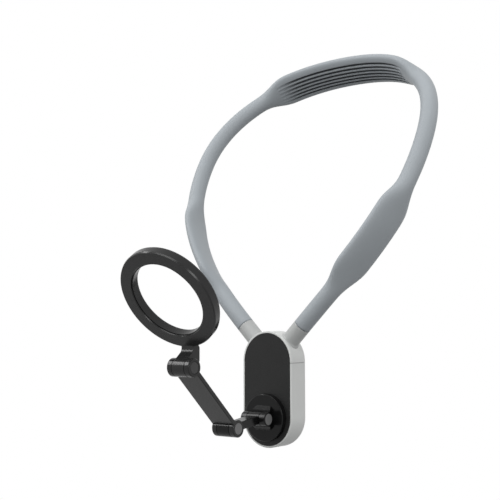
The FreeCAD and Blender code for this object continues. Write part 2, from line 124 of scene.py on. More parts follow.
def addRoom():
    world = bpy.data.worlds.new("whiteRoom")
    bpy.context.scene.world = world
    world.use_nodes = True
    nodes, links = world.node_tree.nodes, world.node_tree.links
    nodes.clear()
    roomLight = nodes.new("ShaderNodeBackground")
    way = nodes.new("ShaderNodeTexCoord")
    split = nodes.new("ShaderNodeSeparateXYZ")
    dome = nodes.new("ShaderNodeMapRange")
    dome.inputs["From Min"].default_value = -1
    dome.inputs["To Min"].default_value = studio["domeLow"]
    dome.inputs["To Max"].default_value = studio["domeTop"]
    links.new(way.outputs["Generated"], split.inputs[0])
    links.new(split.outputs["Z"], dome.inputs["Value"])
    links.new(dome.outputs[0], roomLight.inputs["Strength"])
    roomWhite = nodes.new("ShaderNodeBackground")
    roomWhite.inputs["Strength"].default_value = 1
    for background in (roomLight, roomWhite):
        background.inputs["Color"].default_value = (1, 1, 1, 1)
    mix = nodes.new("ShaderNodeMixShader")
    out = nodes.new("ShaderNodeOutputWorld")
    links.new(whiteRays(nodes, links), mix.inputs[0])
    links.new(roomLight.outputs[0], mix.inputs[1])
    links.new(roomWhite.outputs[0], mix.inputs[2])
    links.new(mix.outputs[0], out.inputs["Surface"])


def addFloor():
    bpy.ops.object.select_all(action="DESELECT")
    level = cadLow.z - studio["floorDrop"]
    middle = (cadLow + cadHigh) / 2
    bpy.ops.mesh.primitive_circle_add(
        vertices=studio["floorSides"], radius=studio["floorRadius"], fill_type="NGON",
        location=(middle.x, middle.y, level),
    )
    floor = bpy.context.object
    floor.name = "studioFloor"
    floor.visible_diffuse = False  # so that no light comes up from below
    paint = bpy.data.materials.new("paleFloor")
    paint.use_nodes = True
    nodes, links = paint.node_tree.nodes, paint.node_tree.links
    nodes.clear()
    matt = nodes.new("ShaderNodeBsdfDiffuse")
    matt.inputs["Color"].default_value = studio["floorColour"]
    white = nodes.new("ShaderNodeEmission")
    white.inputs["Color"].default_value = (1, 1, 1, 1)
    place = nodes.new("ShaderNodeTexCoord")
    outFrom = nodes.new("ShaderNodeVectorMath")
    outFrom.operation = "LENGTH"
    fadeFrom, fadeTo = studio["floorFade"]
    fade = nodes.new("ShaderNodeMapRange")
    fade.interpolation_type = "SMOOTHSTEP"
    fade.inputs["From Min"].default_value = fadeFrom
    fade.inputs["From Max"].default_value = fadeTo
    shown = nodes.new("ShaderNodeMath")
    shown.operation = "MULTIPLY"
    mix = nodes.new("ShaderNodeMixShader")
    out = nodes.new("ShaderNodeOutputMaterial")
    links.new(place.outputs["Object"], outFrom.inputs[0])
    links.new(outFrom.outputs["Value"], fade.inputs["Value"])
    links.new(fade.outputs[0], shown.inputs[0])
    links.new(whiteRays(nodes, links), shown.inputs[1])
    links.new(shown.outputs[0], mix.inputs[0])
    links.new(matt.outputs[0], mix.inputs[1])
    links.new(white.outputs[0], mix.inputs[2])
    links.new(mix.outputs[0], out.inputs["Surface"])
    floor.data.materials.append(paint)


def addLamp(name):
    lamp = bpy.data.lights.new(name + "Lamp", "AREA")
    lamp.shape = "RECTANGLE"
    lamp.size, lamp.size_y = studio[name + "Size"]
    lamp.energy = studio[name + "Watts"]
    holder = bpy.data.objects.new(name + "Lamp", lamp)
    bpy.context.scene.collection.objects.link(holder)
    place = studio[name + "At"]
    holder.location = (cadLow + cadHigh) / 2 + place
    roll = Quaternion((0, 0, 1), math.radians(studio[name + "Roll"]))
    holder.rotation_euler = ((-place).to_track_quat("-Z", "Y") @ roll).to_euler()


bpy.context.scene.view_settings.view_transform = "Standard"
addCamera()
addRoom()
addFloor()
for lampName in ("key", "fill", "front"):
    addLamp(lampName)
print("camera, room and lamps set")


# finishes, one dictionary each: grain is the fine texture, patch the slow drift of tone
finishes = {
    "silicone": {
        "colour": (0.334, 0.362, 0.384), "spread": 0.05, "roughness": 0.5, "specular": 0.3,
        # painted shade in the grooves: the share of the colour left where they are deepest
        "grain": 1400, "grainDepth": 0.00004, "patch": 60, "metal": 0, "paintedShadeTone": 0.12,
    },
    "housingPlastic": {
        "colour": (0.60, 0.61, 0.60), "spread": 0.03, "roughness": 0.42, "specular": 0.4,
        "grain": 5200, "grainDepth": 0.00002, "patch": 90, "metal": 0,
    },
    "ferrulePlastic": {
        "colour": (0.41, 0.42, 0.415), "spread": 0.03, "roughness": 0.42, "specular": 0.4,
        "grain": 5200, "grainDepth": 0.00002, "patch": 90, "metal": 0,
    },
    "plateGrain": {
        "colour": (0.014, 0.0142, 0.0142), "spread": 0.2, "roughness": 0.5, "specular": 0.22,
        "grain": 2600, "grainDepth": 0.00012, "patch": 120, "metal": 0,
    },
    "armMetal": {
        "colour": (0.012, 0.0121, 0.0122), "spread": 0.12, "roughness": 0.2, "specular": 0.25,
        "grain": 4200, "grainDepth": 0.0000008, "patch": 140, "metal": 0,
    },
    # painted shade: a darker, less glossy copy of the arm metal, for the bracket and short link, which
    # are the same metal
    "shadedArmMetal": {
        "colour": (0.006, 0.0061, 0.0062), "spread": 0.12, "roughness": 0.2, "specular": 0.17,
        "grain": 4200, "grainDepth": 0.0000008, "patch": 140, "metal": 0,
    },
    "ringMetal": {
        "colour": (0.014, 0.0141, 0.0142), "spread": 0.12, "roughness": 0.24, "specular": 0.25,
        "grain": 4200, "grainDepth": 0.0000008, "patch": 140, "metal": 0,
    },
    "pinMetal": {
        "colour": (0.12, 0.12, 0.12), "spread": 0.12, "roughness": 0.4, "specular": 0.5,
        "grain": 3000, "grainDepth": 0.00004, "patch": 200, "metal": 0,
    },
    "darkPin": {
        "colour": (0.035, 0.035, 0.035), "spread": 0.15, "roughness": 0.36, "specular": 0.3,
        "grain": 2600, "grainDepth": 0.00006, "patch": 200, "metal": 0,
    },
    "screwSteel": {
        "colour": (0.55, 0.55, 0.56), "spread": 0.1, "roughness": 0.3, "specular": 0.5,
        "grain": 6000, "grainDepth": 0.00001, "patch": 300, "metal": 1,
    },
    "washerNylon": {
        "colour": (0.05, 0.05, 0.05), "spread": 0.1, "roughness": 0.5, "specular": 0.4,
        "grain": 5000, "grainDepth": 0.00002, "patch": 200, "metal": 0,
    },
    "magnetNickel": {
        "colour": (0.62, 0.60, 0.57), "spread": 0.08, "roughness": 0.22, "specular": 0.5,
        "grain": 5000, "grainDepth": 0.00001, "patch": 200, "metal": 1,
    },
    "padSilicone": {
        "colour": (0.03, 0.0305, 0.031), "spread": 0.1, "roughness": 0.6, "specular": 0.3,
        "grain": 1800, "grainDepth": 0.00005, "patch": 120, "metal": 0,
    },
}


texture = {"patchDetail": 3, "grainDetail": 2, "glossDrift": 0.05}  # what all finishes share


def shade(colour, factor):
    return tuple(min(1, channel * factor) for channel in colour) + (1,)


def paintShadeInGrooves(nodes, links, colour, shadedColour):
    # painted shade in the grooves: the colour goes towards a darker copy of itself, as the piece's own
    # groove attribute says
    groove = nodes.new("ShaderNodeAttribute")
    groove.attribute_name = "paintedGrooveShade"
    blend = nodes.new("ShaderNodeMix")
    blend.data_type = "RGBA"
    blend.inputs["B"].default_value = shadedColour
    links.new(groove.outputs["Fac"], blend.inputs["Factor"])
    links.new(colour, blend.inputs["A"])
    return blend.outputs["Result"]


def makeFinish(name, look):
    finish = bpy.data.materials.new(name)
    finish.use_nodes = True
    nodes, links = finish.node_tree.nodes, finish.node_tree.links
    shader = nodes["Principled BSDF"]
    shader.inputs["Metallic"].default_value = look["metal"]
    shader.inputs["Specular IOR Level"].default_value = look["specular"]
    place = nodes.new("ShaderNodeTexCoord")
    patch = nodes.new("ShaderNodeTexNoise")
    patch.inputs["Scale"].default_value = look["patch"]
    patch.inputs["Detail"].default_value = texture["patchDetail"]
    tone = nodes.new("ShaderNodeValToRGB")
    tone.color_ramp.elements[0].color = shade(look["colour"], 1 - look["spread"])
    tone.color_ramp.elements[1].color = shade(look["colour"], 1 + look["spread"])
    gloss = nodes.new("ShaderNodeMapRange")
    gloss.inputs["To Min"].default_value = look["roughness"] - texture["glossDrift"]
    gloss.inputs["To Max"].default_value = look["roughness"] + texture["glossDrift"]
    grain = nodes.new("ShaderNodeTexNoise")
    grain.inputs["Scale"].default_value = look["grain"]
    grain.inputs["Detail"].default_value = texture["grainDetail"]
    bump = nodes.new("ShaderNodeBump")
    bump.inputs["Distance"].default_value = look["grainDepth"]
    links.new(place.outputs["Object"], patch.inputs["Vector"])
    links.new(place.outputs["Object"], grain.inputs["Vector"])
    links.new(patch.outputs["Fac"], tone.inputs["Fac"])
    colour = tone.outputs["Color"]
    # painted shade: darker inside the grooves
    if "paintedShadeTone" in look:
        colour = paintShadeInGrooves(nodes, links, colour, shade(look["colour"], look["paintedShadeTone"]))
    links.new(colour, shader.inputs["Base Color"])
    links.new(patch.outputs["Fac"], gloss.inputs["Value"])
    links.new(gloss.outputs[0], shader.inputs["Roughness"])
    links.new(grain.outputs["Fac"], bump.inputs["Height"])
    links.new(bump.outputs["Normal"], shader.inputs["Normal"])
    return finish


finishOf = {name: makeFinish(name, look) for name, look in finishes.items()}
print("finishes made:", len(finishOf))

# helpers for modelling by hand
near = 0.01 * mm  # within this, a point is at a place
weld = 0.004 * mm  # nearer points become one
spare = 1  # how far in millimetres a cutting tool reaches past the piece
sharpAngle = 35  # edges past this many degrees stay sharp, or are softened
faceWeight = 80  # larger faces lead when normals are smoothed
edgeSteps = {"broad": 8, "bend": 5, "round": 4, "small": 3, "fine": 2, "flat": 1}
roundSides = {"disc": 128, "barrel": 96, "sleeve": 72, "recess": 64, "hole": 48}


def at(x, y, z):
    return swivelAt + Vector((x, y, z)) * mm  # millimetres from the swivel, in the part's frame


def clearSelection():
    if bpy.context.object and bpy.context.object.mode != "OBJECT":
        bpy.ops.object.mode_set(mode="OBJECT")
    bpy.ops.object.select_all(action="DESELECT")


def activate(piece):
    clearSelection()
    piece.select_set(True)
    bpy.context.view_layer.objects.active = piece


def choose(piece, kind, wanted):
    # leaves the piece in edit mode with only the wanted vertices, edges or faces selected
    bpy.ops.object.mode_set(mode="EDIT")
    bpy.ops.mesh.select_mode(type=kind)
    bpy.ops.mesh.select_all(action="DESELECT")
    mesh = bmesh.from_edit_mesh(piece.data)
    for item in {"VERT": mesh.verts, "EDGE": mesh.edges, "FACE": mesh.faces}[kind]:
        if wanted(item):
            item.select_set(True)
    mesh.select_flush_mode()
    bmesh.update_edit_mesh(piece.data)


def middleOf(item):
    return sum((corner.co for corner in item.verts), Vector()) / len(item.verts)


def allAt(item, axis, value):
    return all(abs(corner.co[axis] - value) < near for corner in item.verts)


def push(x, y, z):
    bpy.ops.mesh.extrude_region_move(TRANSFORM_OT_translate={"value": (x * mm, y * mm, z * mm)})


def squeeze(x, y, z, centre):
    bpy.ops.transform.resize(value=(x, y, z), center_override=centre)


def bevel(width, steps):
    bpy.ops.mesh.bevel(offset=width * mm, segments=steps, affect="EDGES", clamp_overlap=True)


def inset(width):
    bpy.ops.mesh.inset(thickness=width * mm)


def objectMode():
    bpy.ops.object.mode_set(mode="OBJECT")


def applyModifier(piece, kind, **settings):
    activate(piece)
    modifier = piece.modifiers.new(kind, kind)
    for key, value in settings.items():
        setattr(modifier, key, value)
    bpy.ops.object.modifier_apply(modifier=modifier.name)


def closeMesh(piece):
    activate(piece)
    choose(piece, "VERT", lambda vertex: True)
    bpy.ops.mesh.remove_doubles(threshold=weld)
    bpy.ops.mesh.normals_make_consistent(inside=False)
    objectMode()


def applyPlace(piece):
    activate(piece)
    bpy.ops.object.transform_apply(location=True, rotation=True, scale=True)


def addBlock(name, low, high):
    clearSelection()
    low, high = Vector(low) * mm, Vector(high) * mm
    bpy.ops.mesh.primitive_cube_add(size=1, location=(low + high) / 2, scale=high - low)
    block = bpy.context.object
    block.name = name
    applyPlace(block)
    return block


def addRound(name, radius, low, high, axis, place=(0, 0, 0), sides=roundSides["barrel"]):
    # a cylinder from low to high along an axis, through this place
    clearSelection()
    middle = Vector(place)
    middle["XYZ".index(axis)] = (low + high) / 2
    turn = {"X": (0, math.pi / 2, 0), "Y": (math.pi / 2, 0, 0), "Z": (0, 0, 0)}[axis]
    bpy.ops.mesh.primitive_cylinder_add(
        vertices=sides, radius=radius * mm, depth=(high - low) * mm, location=middle * mm, rotation=turn
    )
    rod = bpy.context.object
    rod.name = name
    applyPlace(rod)
    return rod


def combine(piece, tool, operation):
    applyModifier(piece, "BOOLEAN", object=tool, operation=operation, solver="EXACT")
    bpy.data.objects.remove(tool)


def smoothFaces(piece, angle=sharpAngle):
    activate(piece)
    bpy.ops.object.shade_smooth_by_angle(angle=math.radians(angle))
    applyModifier(piece, "WEIGHTED_NORMAL", keep_sharp=True, weight=faceWeight)


def softenEdges(piece, width):
    applyModifier(
        piece, "BEVEL", width=width * mm, segments=edgeSteps["fine"], limit_method="ANGLE",
        angle_limit=math.radians(sharpAngle), harden_normals=False, miter_outer="MITER_ARC",
    )
    closeMesh(piece)
    smoothFaces(piece)


def deliver(piece, name, finishName, slot, body, *nodes):
    piece.name = name
    piece.data.name = name
    piece.data.materials.clear()
    piece.data.materials.append(finishOf[finishName])
    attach(piece, body)
    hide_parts(*nodes)
    print("modelled", name, len(piece.data.polygons), "faces")


# neck band: one silicone moulding, modelled straight, grooved, then bent round the neck and mirrored
band = {
    "tubeRadius": 5.0,
    "padWidth": 22.8,
    "padThickness": 7.5,
    "padSquareness": 2.2,  # 2 is an oval, more has fuller edges
    "napeHalf": 45.0,
    "napeTaper": 20.0,
    "collarAt": 62.8,  # back from the ferrule
    "collarHalf": 18.0,
    "collarTaper": 19.0,
    "grooveCount": 6,
    "groovePitch": 2.65,
    "grooveWidth": 1.6,
    "grooveDepth": 1.8,
    "grooveHalf": 36.0,
    "grooveFade": 16.0,
    "grooveCrease": 0.9,
    "borderAcross": (8.5, 9.8, 10.8),  # extra lines between the outer groove and the pad's edge
    "ringStep": 4.0,
    "napeRoll": 54.0,
    "plugRadius": 2.9,
    "plugLength": 5.6,
    "nape": (0, 90.8, 212.6),
    "napePull": 52.0,
    "shoulder": (78.3, 40.0, 153.2),
    "shoulderLean": 30.7,
    "shoulderPulls": (40.0, 50.0),
    "upperCentre": (0, 6.5, 31.0),
    "ferruleAngle": 45.0,
    "ferruleReach": 28.0,
    "ferrulePull": 44.0,
    "lineSteps": 64,
    "smoothLevels": 2,
}


def ferruleDirection():
    turn = math.radians(band["ferruleAngle"])
    return Vector((math.sin(turn), 0, math.cos(turn)))


def addBandLine():
    # the line of the band's middle, from the nape round the shoulder to the ferrule
    clearSelection()
    bpy.ops.curve.primitive_bezier_curve_add()
    line = bpy.context.object
    line.data.dimensions = "3D"
    line.data.twist_mode = "MINIMUM"
    line.data.resolution_u = band["lineSteps"]
    lean = math.radians(band["shoulderLean"])
    rise = Vector((0, math.sin(lean), math.cos(lean)))
    side = Vector((1, 0, 0))
    out = ferruleDirection()
    up, down = band["shoulderPulls"]
    nape, shoulder = at(*band["nape"]), at(*band["shoulder"])
    end = at(*band["upperCentre"]) + out * band["ferruleReach"] * mm
    places = [
        (nape, nape - side * band["napePull"] * mm, nape + side * band["napePull"] * mm),
        (shoulder, shoulder + rise * up * mm, shoulder - rise * down * mm),
        (end, end + out * band["ferrulePull"] * mm, end - out * band["ferrulePull"] * mm),
    ]
    spline = line.data.splines[0]
    spline.bezier_points.add(1)
    for point, (place, before, after) in zip(spline.bezier_points, places):
        point.handle_left_type = point.handle_right_type = "FREE"
        point.co, point.handle_left, point.handle_right = place, before, after
    return line, spline.calc_length() / mm


def smoothStep(share):
    share = min(max(share, 0), 1)
    return share * share * (3 - 2 * share)


def flatTop(distance, half, taper):
    return smoothStep((half + taper - abs(distance)) / taper)


def grooveSpans():
    # both edges of each groove on one side of the pad's middle line
    middles = [(place + 0.5) * band["groovePitch"] for place in range(band["grooveCount"] // 2)]
    return [(middle - band["grooveWidth"] / 2, middle + band["grooveWidth"] / 2) for middle in middles]


def sectionAngles():
    # angles round the section that put its points on the groove edges of a full pad
    quarter = []
    lines = [edge for span in grooveSpans() for edge in span] + list(band["borderAcross"])
    for across in lines:
        share = across / (band["padWidth"] / 2)
        quarter.append(math.acos(share ** (band["padSquareness"] / 2)))
    quarter.append(0.0)
    ribbed = quarter[::-1] + [math.pi - angle for angle in quarter]
    plain = [-angle % (2 * math.pi) for angle in ribbed[-2:0:-1]]
    return ribbed + plain


def raised(value, exponent):
    return math.copysign(abs(value) ** exponent, value)


def addBandStrip(length):
    # a tube of rings along X, each ring then given its own section, ribbed side to the front
    angles = sectionAngles()
    count = len(angles)
    pointShift = 0.25  # of a step, so that rounding noise never moves a point to the next place
    clearSelection()
    bpy.ops.mesh.primitive_circle_add(
        vertices=count, radius=band["tubeRadius"] * mm, rotation=(0, math.pi / 2, 0)
    )
    strip = bpy.context.object
    applyPlace(strip)
    choose(strip, "VERT", lambda vertex: True)
    rings = round(length / band["ringStep"])
    for ring in range(rings):
        push(length / rings, 0, 0)
    objectMode()
    for vertex in strip.data.vertices:
        along = vertex.co.x / mm
        nape = flatTop(along, band["napeHalf"], band["napeTaper"])
        collar = flatTop(length - along - band["collarAt"], band["collarHalf"], band["collarTaper"])
        share = max(nape, collar)
        halfWidth = band["tubeRadius"] + (band["padWidth"] / 2 - band["tubeRadius"]) * share
        halfThick = band["tubeRadius"] + (band["padThickness"] / 2 - band["tubeRadius"]) * share
        exponent = 2 / (2 + (band["padSquareness"] - 2) * share)
        turn = math.atan2(-vertex.co.y, vertex.co.z) % (2 * math.pi)
        place = math.floor(turn * count / (2 * math.pi) + pointShift) % count
        even = 2 * math.pi * place / count
        angle = even + (angles[place] - even) * share
        vertex.co.z = halfWidth * raised(math.cos(angle), exponent) * mm
        vertex.co.y = -halfThick * raised(math.sin(angle), exponent) * mm
    return strip


def cutGrooves(strip):
    reach = (band["grooveHalf"] + band["grooveFade"]) * mm

    def grooved(face):
        middle = middleOf(face)
        inSpan = any(low < abs(middle.z) / mm < high for low, high in grooveSpans())
        return middle.y < 0 and middle.x < reach and inSpan

    choose(strip, "FACE", grooved)
    bpy.ops.mesh.region_to_loop()
    bpy.ops.transform.edge_crease(value=band["grooveCrease"])
    choose(strip, "FACE", grooved)
    push(0, band["grooveDepth"], 0)
    objectMode()
    # painted shade: a weight for each groove point, full where the groove is deepest, that darkens the
    # colour there
    paintedShadeOf = strip.data.attributes.new("paintedGrooveShade", "FLOAT", "POINT").data
    for vertex in strip.data.vertices:
        if vertex.select:
            fade = flatTop(vertex.co.x / mm, band["grooveHalf"], band["grooveFade"])
            vertex.co.y -= band["grooveDepth"] * (1 - fade) * mm
            paintedShadeOf[vertex.index].value = fade
    choose(strip, "FACE", lambda face: allAt(face, 0, 0))
    bpy.ops.mesh.delete(type="FACE")  # walls left across the grooves where the other half joins on
    objectMode()


def addPlug(strip, length):
    # the end of the band that sits in its ferrule
    share = band["plugRadius"] / band["tubeRadius"]
    choose(strip, "EDGE", lambda edge: allAt(edge, 0, length * mm))
    bpy.ops.transform.edge_crease(value=1)
    push(0, 0, 0)
    squeeze(1, share, share, (length * mm, 0, 0))
    push(band["plugLength"], 0, 0)
    bpy.ops.mesh.edge_face_add()
    objectMode()


def makeNeckBand():
    line, length = addBandLine()
    strip = addBandStrip(length)
    cutGrooves(strip)
    addPlug(strip, length)
    closeMesh(strip)
    strip.rotation_euler.x = math.radians(band["napeRoll"])
    applyPlace(strip)
    applyModifier(strip, "CURVE", object=line, deform_axis="POS_X")
    bpy.data.objects.remove(line)
    applyModifier(strip, "MIRROR", use_axis=(True, False, False), merge_threshold=near)
    closeMesh(strip)
    applyModifier(strip, "SUBSURF", levels=band["smoothLevels"], render_levels=band["smoothLevels"])
    activate(strip)
    bpy.ops.object.shade_smooth()
    deliver(strip, "neckBand", "silicone", "silicone", "base", "neck_band")


makeNeckBand()

# housing: two moulded halves of a rounded box, hollow behind the plate, drawn about the swivel
housing = {
    "radius": 16.9,
    "endSpacing": 31.0,  # between the centres of the round ends
    "cornerShare": 0.9999,  # of the radius, so that the corners' roundings don't meet in a point
    "cornerSteps": 28,
    "depth": 15.3,
    "backEdge": 3.5,
    "rimEdge": 0.5,
    "recessRadius": 15.88,  # takes the plate
    "recessDepth": 2.4,
    "sideWall": 2.0,
    "backWall": 2.2,
    "seamAt": 30.3,
    "seamGap": 0.16,
    "seamEdge": 0.14,
    "screwPlaces": ((0, 42.0), (-10.5, 21.0), (10.5, 21.0), (0, -11.6)),
    "screwHole": 1.05,
    "headHole": 2.0,
    "headDepth": 1.3,
}


def addHousingOutside(name):
    radius, depth = housing["radius"], housing["depth"]
    body = addBlock(name, (-radius, 0, -radius), (radius, depth, housing["endSpacing"] + radius))
    choose(body, "EDGE", lambda edge: abs(edge.verts[0].co.y - edge.verts[1].co.y) > near)
    bevel(radius * housing["cornerShare"], housing["cornerSteps"])
    objectMode()
    closeMesh(body)
    choose(body, "EDGE", lambda edge: allAt(edge, 1, depth * mm))
    bevel(housing["backEdge"], edgeSteps["broad"])
    choose(body, "EDGE", lambda edge: allAt(edge, 1, 0))
    bevel(housing["rimEdge"], edgeSteps["round"])
    objectMode()
    return body


def cutScrewHoles(shell):
    seat = housing["depth"] - housing["headDepth"]
    top = housing["depth"] + spare
    for x, z in housing["screwPlaces"]:
        hole = addRound("screwHole", housing["headHole"], seat, top, "Y", (x, 0, z), roundSides["hole"])
        choose(hole, "FACE", lambda face: allAt(face, 1, seat * mm))
        inset(housing["headHole"] - housing["screwHole"])
        push(0, -housing["backWall"], 0)
        objectMode()
        combine(shell, hole, "DIFFERENCE")


def keepHalf(half, level, above):
    activate(half)
    choose(half, "VERT", lambda vertex: True)
    bpy.ops.mesh.bisect(
        plane_co=(0, 0, level * mm), plane_no=(0, 0, 1), use_fill=True,
        clear_inner=above, clear_outer=not above,
    )
    choose(half, "EDGE", lambda edge: allAt(edge, 2, level * mm))
    bevel(housing["seamEdge"], edgeSteps["fine"])
    objectMode()
    smoothFaces(half)


def copyOf(piece, name):
    twin = piece.copy()
    twin.data = piece.data.copy()
    twin.name = name
    bpy.context.scene.collection.objects.link(twin)
    return twin


def settle(piece, place, lean=0):
    # turned about X by this many degrees, then moved to its place in the part
    piece.rotation_euler.x = math.radians(lean)
    piece.location = place
    applyPlace(piece)


def makeHousing():
    shell = addHousingOutside("housingShell")
    choose(shell, "FACE", lambda face: allAt(face, 1, 0))
    inset(housing["radius"] - housing["rimEdge"] - housing["recessRadius"])
    push(0, housing["recessDepth"], 0)
    inset(housing["recessRadius"] - housing["radius"] + housing["sideWall"])
    push(0, housing["depth"] - housing["backWall"] - housing["recessDepth"], 0)
    objectMode()
    cutScrewHoles(shell)
    upper, lower = shell, copyOf(shell, "lowerHousing")
    keepHalf(upper, housing["seamAt"] + housing["seamGap"] / 2, True)
    keepHalf(lower, housing["seamAt"] - housing["seamGap"] / 2, False)
    for half in (upper, lower):
        settle(half, swivelAt)
    deliver(upper, "upperHousing", "housingPlastic", "housing_plastic", "base", "upper_housing")
    deliver(lower, "lowerHousing", "housingPlastic", "housing_plastic", "base", "lower_housing")


makeHousing()

# ferrules: sleeves that take the band's ends, flared where they meet the housing
ferrule = {
    "radius": 5.0,
    "from": 18.0,  # from the centre of the housing's upper round end
    "edge": 0.5,
    "flare": ((17.5, 5.04), (17.1, 5.16), (16.8, 5.35), (16.6, 5.6), (14.0, 6.2)),
    "socketRadius": 3.0,
    "socketDepth": 6.0,
    "spigotRadius": 1.9,
    "spigotFrom": 12.0,
    "smoothAngle": 50,
}


def makeFerrules():
    start, far = ferrule["from"], band["ferruleReach"]
    axle = (0, 0, 0)
    sleeve = addRound("ferruleRight", ferrule["radius"], start, far, "Z", axle, roundSides["sleeve"])
    choose(sleeve, "FACE", lambda face: allAt(face, 2, start * mm))
    level, wide = start, ferrule["radius"]
    for nextLevel, nextWide in ferrule["flare"]:
        push(0, 0, nextLevel - level)
        squeeze(nextWide / wide, nextWide / wide, 1, (0, 0, nextLevel * mm))
        level, wide = nextLevel, nextWide
    choose(sleeve, "EDGE", lambda edge: allAt(edge, 2, far * mm))
    bevel(ferrule["edge"], edgeSteps["small"])
    choose(sleeve, "FACE", lambda face: allAt(face, 2, far * mm))
    inset(ferrule["radius"] - ferrule["edge"] - ferrule["socketRadius"])
    push(0, 0, -ferrule["socketDepth"])
    objectMode()
    spigotFrom = ferrule["spigotFrom"]
    spigot = addRound("spigot", ferrule["spigotRadius"], spigotFrom, start, "Z", axle, roundSides["hole"])
    for rod in (sleeve, spigot):
        rod.rotation_euler.y = math.radians(band["ferruleAngle"])
        rod.location = Vector(band["upperCentre"]) * mm
        applyPlace(rod)
    combine(sleeve, addHousingOutside("housingSeat"), "DIFFERENCE")
    combine(sleeve, spigot, "UNION")
    closeMesh(sleeve)
    smoothFaces(sleeve, ferrule["smoothAngle"])
    twin = copyOf(sleeve, "ferruleLeft")
    twin.scale.x = -1
    applyPlace(twin)
    closeMesh(twin)
    smoothFaces(twin, ferrule["smoothAngle"])
    for side, rod in (("Right", sleeve), ("Left", twin)):
        settle(rod, swivelAt)
        node = "ferrule_" + side.lower()
        deliver(rod, "ferrule" + side, "ferrulePlastic", "housing_plastic", "base", node)


makeFerrules()

# hinges: what the ears, knuckles and pin holes of all three share
hinge = {
    "middleWidth": 8.0,
    "slotWidth": 8.7,
    "slotGap": 0.5,  # round a middle knuckle
    "pinHole": 1.55,
    "headHole": 3.2,
    "headDepth": 1.0,
    "earEdge": 0.6,
}


def addBarrel(radius, half, y, edge):
    barrel = addRound("barrel", radius, -half, half, "X", (0, y, 0))
    if edge:
        choose(barrel, "EDGE", lambda rim: allAt(rim, 0, half * mm) or allAt(rim, 0, -half * mm))
        bevel(edge, edgeSteps["round"])
        objectMode()
    return barrel


def cutPinHole(piece, half, y, recessed):
    # a plain rod, or one stepped rod: head recess, pin hole, nut recess
    place, reach = (0, y, 0), half + spare
    if not recessed:
        rod = addRound("pinHole", hinge["pinHole"], -reach, reach, "X", place, roundSides["hole"])
        combine(piece, rod, "DIFFERENCE")
        return
    seat = half - hinge["headDepth"]
    rod = addRound("pinHole", hinge["headHole"], seat, reach, "X", place, roundSides["recess"])
    share = hinge["headHole"] / hinge["pinHole"]
    choose(rod, "FACE", lambda face: allAt(face, 0, seat * mm))
    inset(hinge["headHole"] - hinge["pinHole"])
    push(-2 * seat, 0, 0)
    push(0, 0, 0)
    squeeze(1, share, share, (-seat * mm, y * mm, 0))
    push(seat - reach, 0, 0)
    objectMode()
    combine(piece, rod, "DIFFERENCE")


def addSlot(barrel, y):
    half = hinge["slotWidth"] / 2
    return addRound("slot", barrel + hinge["slotGap"], -half, half, "X", (0, y, 0))


# swivel bracket: a raised disc with a foot and the two ears of hinge 1
bracket = {
    "discRadius": 13.0,
    "discStand": 3.4,
    "discBack": 0.85,
    "discEdge": 0.5,
    "shaftRadius": 4.0,
    "shaftEnd": 6.85,
    "boreRadius": 1.55,
    "boreDepth": 5.05,
    "hingeReach": 9.6,
    "halfWidth": 8.4,
    "footHalf": 4.7,
    "footSpread": 2.0,
    "footLedge": 0.05,  # how far the ledge under the flare slopes
    "barrel": 3.9,
    "footBase": 4.9,  # half its width at the disc
    "fineEdge": 0.22,
}


def addSwivelDisc():
    front, back = -bracket["discStand"], bracket["discBack"]
    disc = addRound("swivelDisc", bracket["discRadius"], front, back, "Y", sides=roundSides["disc"])
    choose(disc, "EDGE", lambda edge: allAt(edge, 1, front * mm))
    bevel(bracket["discEdge"], edgeSteps["round"])
    choose(disc, "FACE", lambda face: allAt(face, 1, back * mm))
    inset(bracket["discRadius"] - bracket["shaftRadius"])
    push(0, bracket["shaftEnd"] - back, 0)
    inset(bracket["shaftRadius"] - bracket["boreRadius"])
    push(0, -bracket["boreDepth"], 0)
    objectMode()
    return disc


def addFoot():
    half, barrel, reach = bracket["halfWidth"], bracket["barrel"], bracket["hingeReach"]
    front = -bracket["discStand"] - bracket["footSpread"]
    foot = addBlock("foot", (-half, -reach, -barrel), (half, front, barrel))
    base = bracket["footBase"]
    middle = half - (half - base) * (front + reach) / (reach - bracket["discStand"])
    choose(foot, "FACE", lambda face: allAt(face, 1, front * mm))
    squeeze(middle / half, 1, 1, (0, front * mm, 0))
    push(0, bracket["footLedge"], 0)
    squeeze(1, 1, bracket["footHalf"] / barrel, (0, front * mm, 0))
    push(0, bracket["footSpread"] - bracket["footLedge"], 0)
    taller = (bracket["footHalf"] + bracket["footSpread"]) / bracket["footHalf"]
    squeeze(base / middle, 1, taller, (0, front * mm, 0))
    push(0, bracket["discStand"] / 2, 0)
    objectMode()
    combine(foot, addBarrel(barrel, half, -reach, hinge["earEdge"]), "UNION")
    return foot


def makeSwivelBracket():
    reach, half = bracket["hingeReach"], bracket["halfWidth"]
    piece = addSwivelDisc()
    combine(piece, addFoot(), "UNION")
    slotHalf = hinge["slotWidth"] / 2
    mouth = addBlock("mouth", (-slotHalf, -2 * reach, -reach), (slotHalf, -reach, reach))
    combine(mouth, addSlot(bracket["barrel"], -reach), "UNION")
    combine(piece, mouth, "DIFFERENCE")
    cutPinHole(piece, half, -reach, True)
    closeMesh(piece)
    softenEdges(piece, bracket["fineEdge"])
    settle(piece, swivelAt)
    # finished with the painted-shade copy of the arm metal
    deliver(piece, "swivelBracket", "shadedArmMetal", "arm_metal", "swivel", "swivel_bracket")


makeSwivelBracket()

# short link and long arm: bars drawn outward along -Y from their first hinge
link = {
    "length": 25.3,
    "lean": 6.9,
    "thickness": 4.4,
    "barrels": (3.9, 4.6),
    "barEdge": 0.4,
    "fineEdge": 0.18,
}
arm = {
    "length": 48.6,
    "lean": -43.2,
    "halfWidth": 7.4,
    "thickness": 2.4,
    "barrels": (4.6, 4.8),
    "barEdge": 0.4,
}


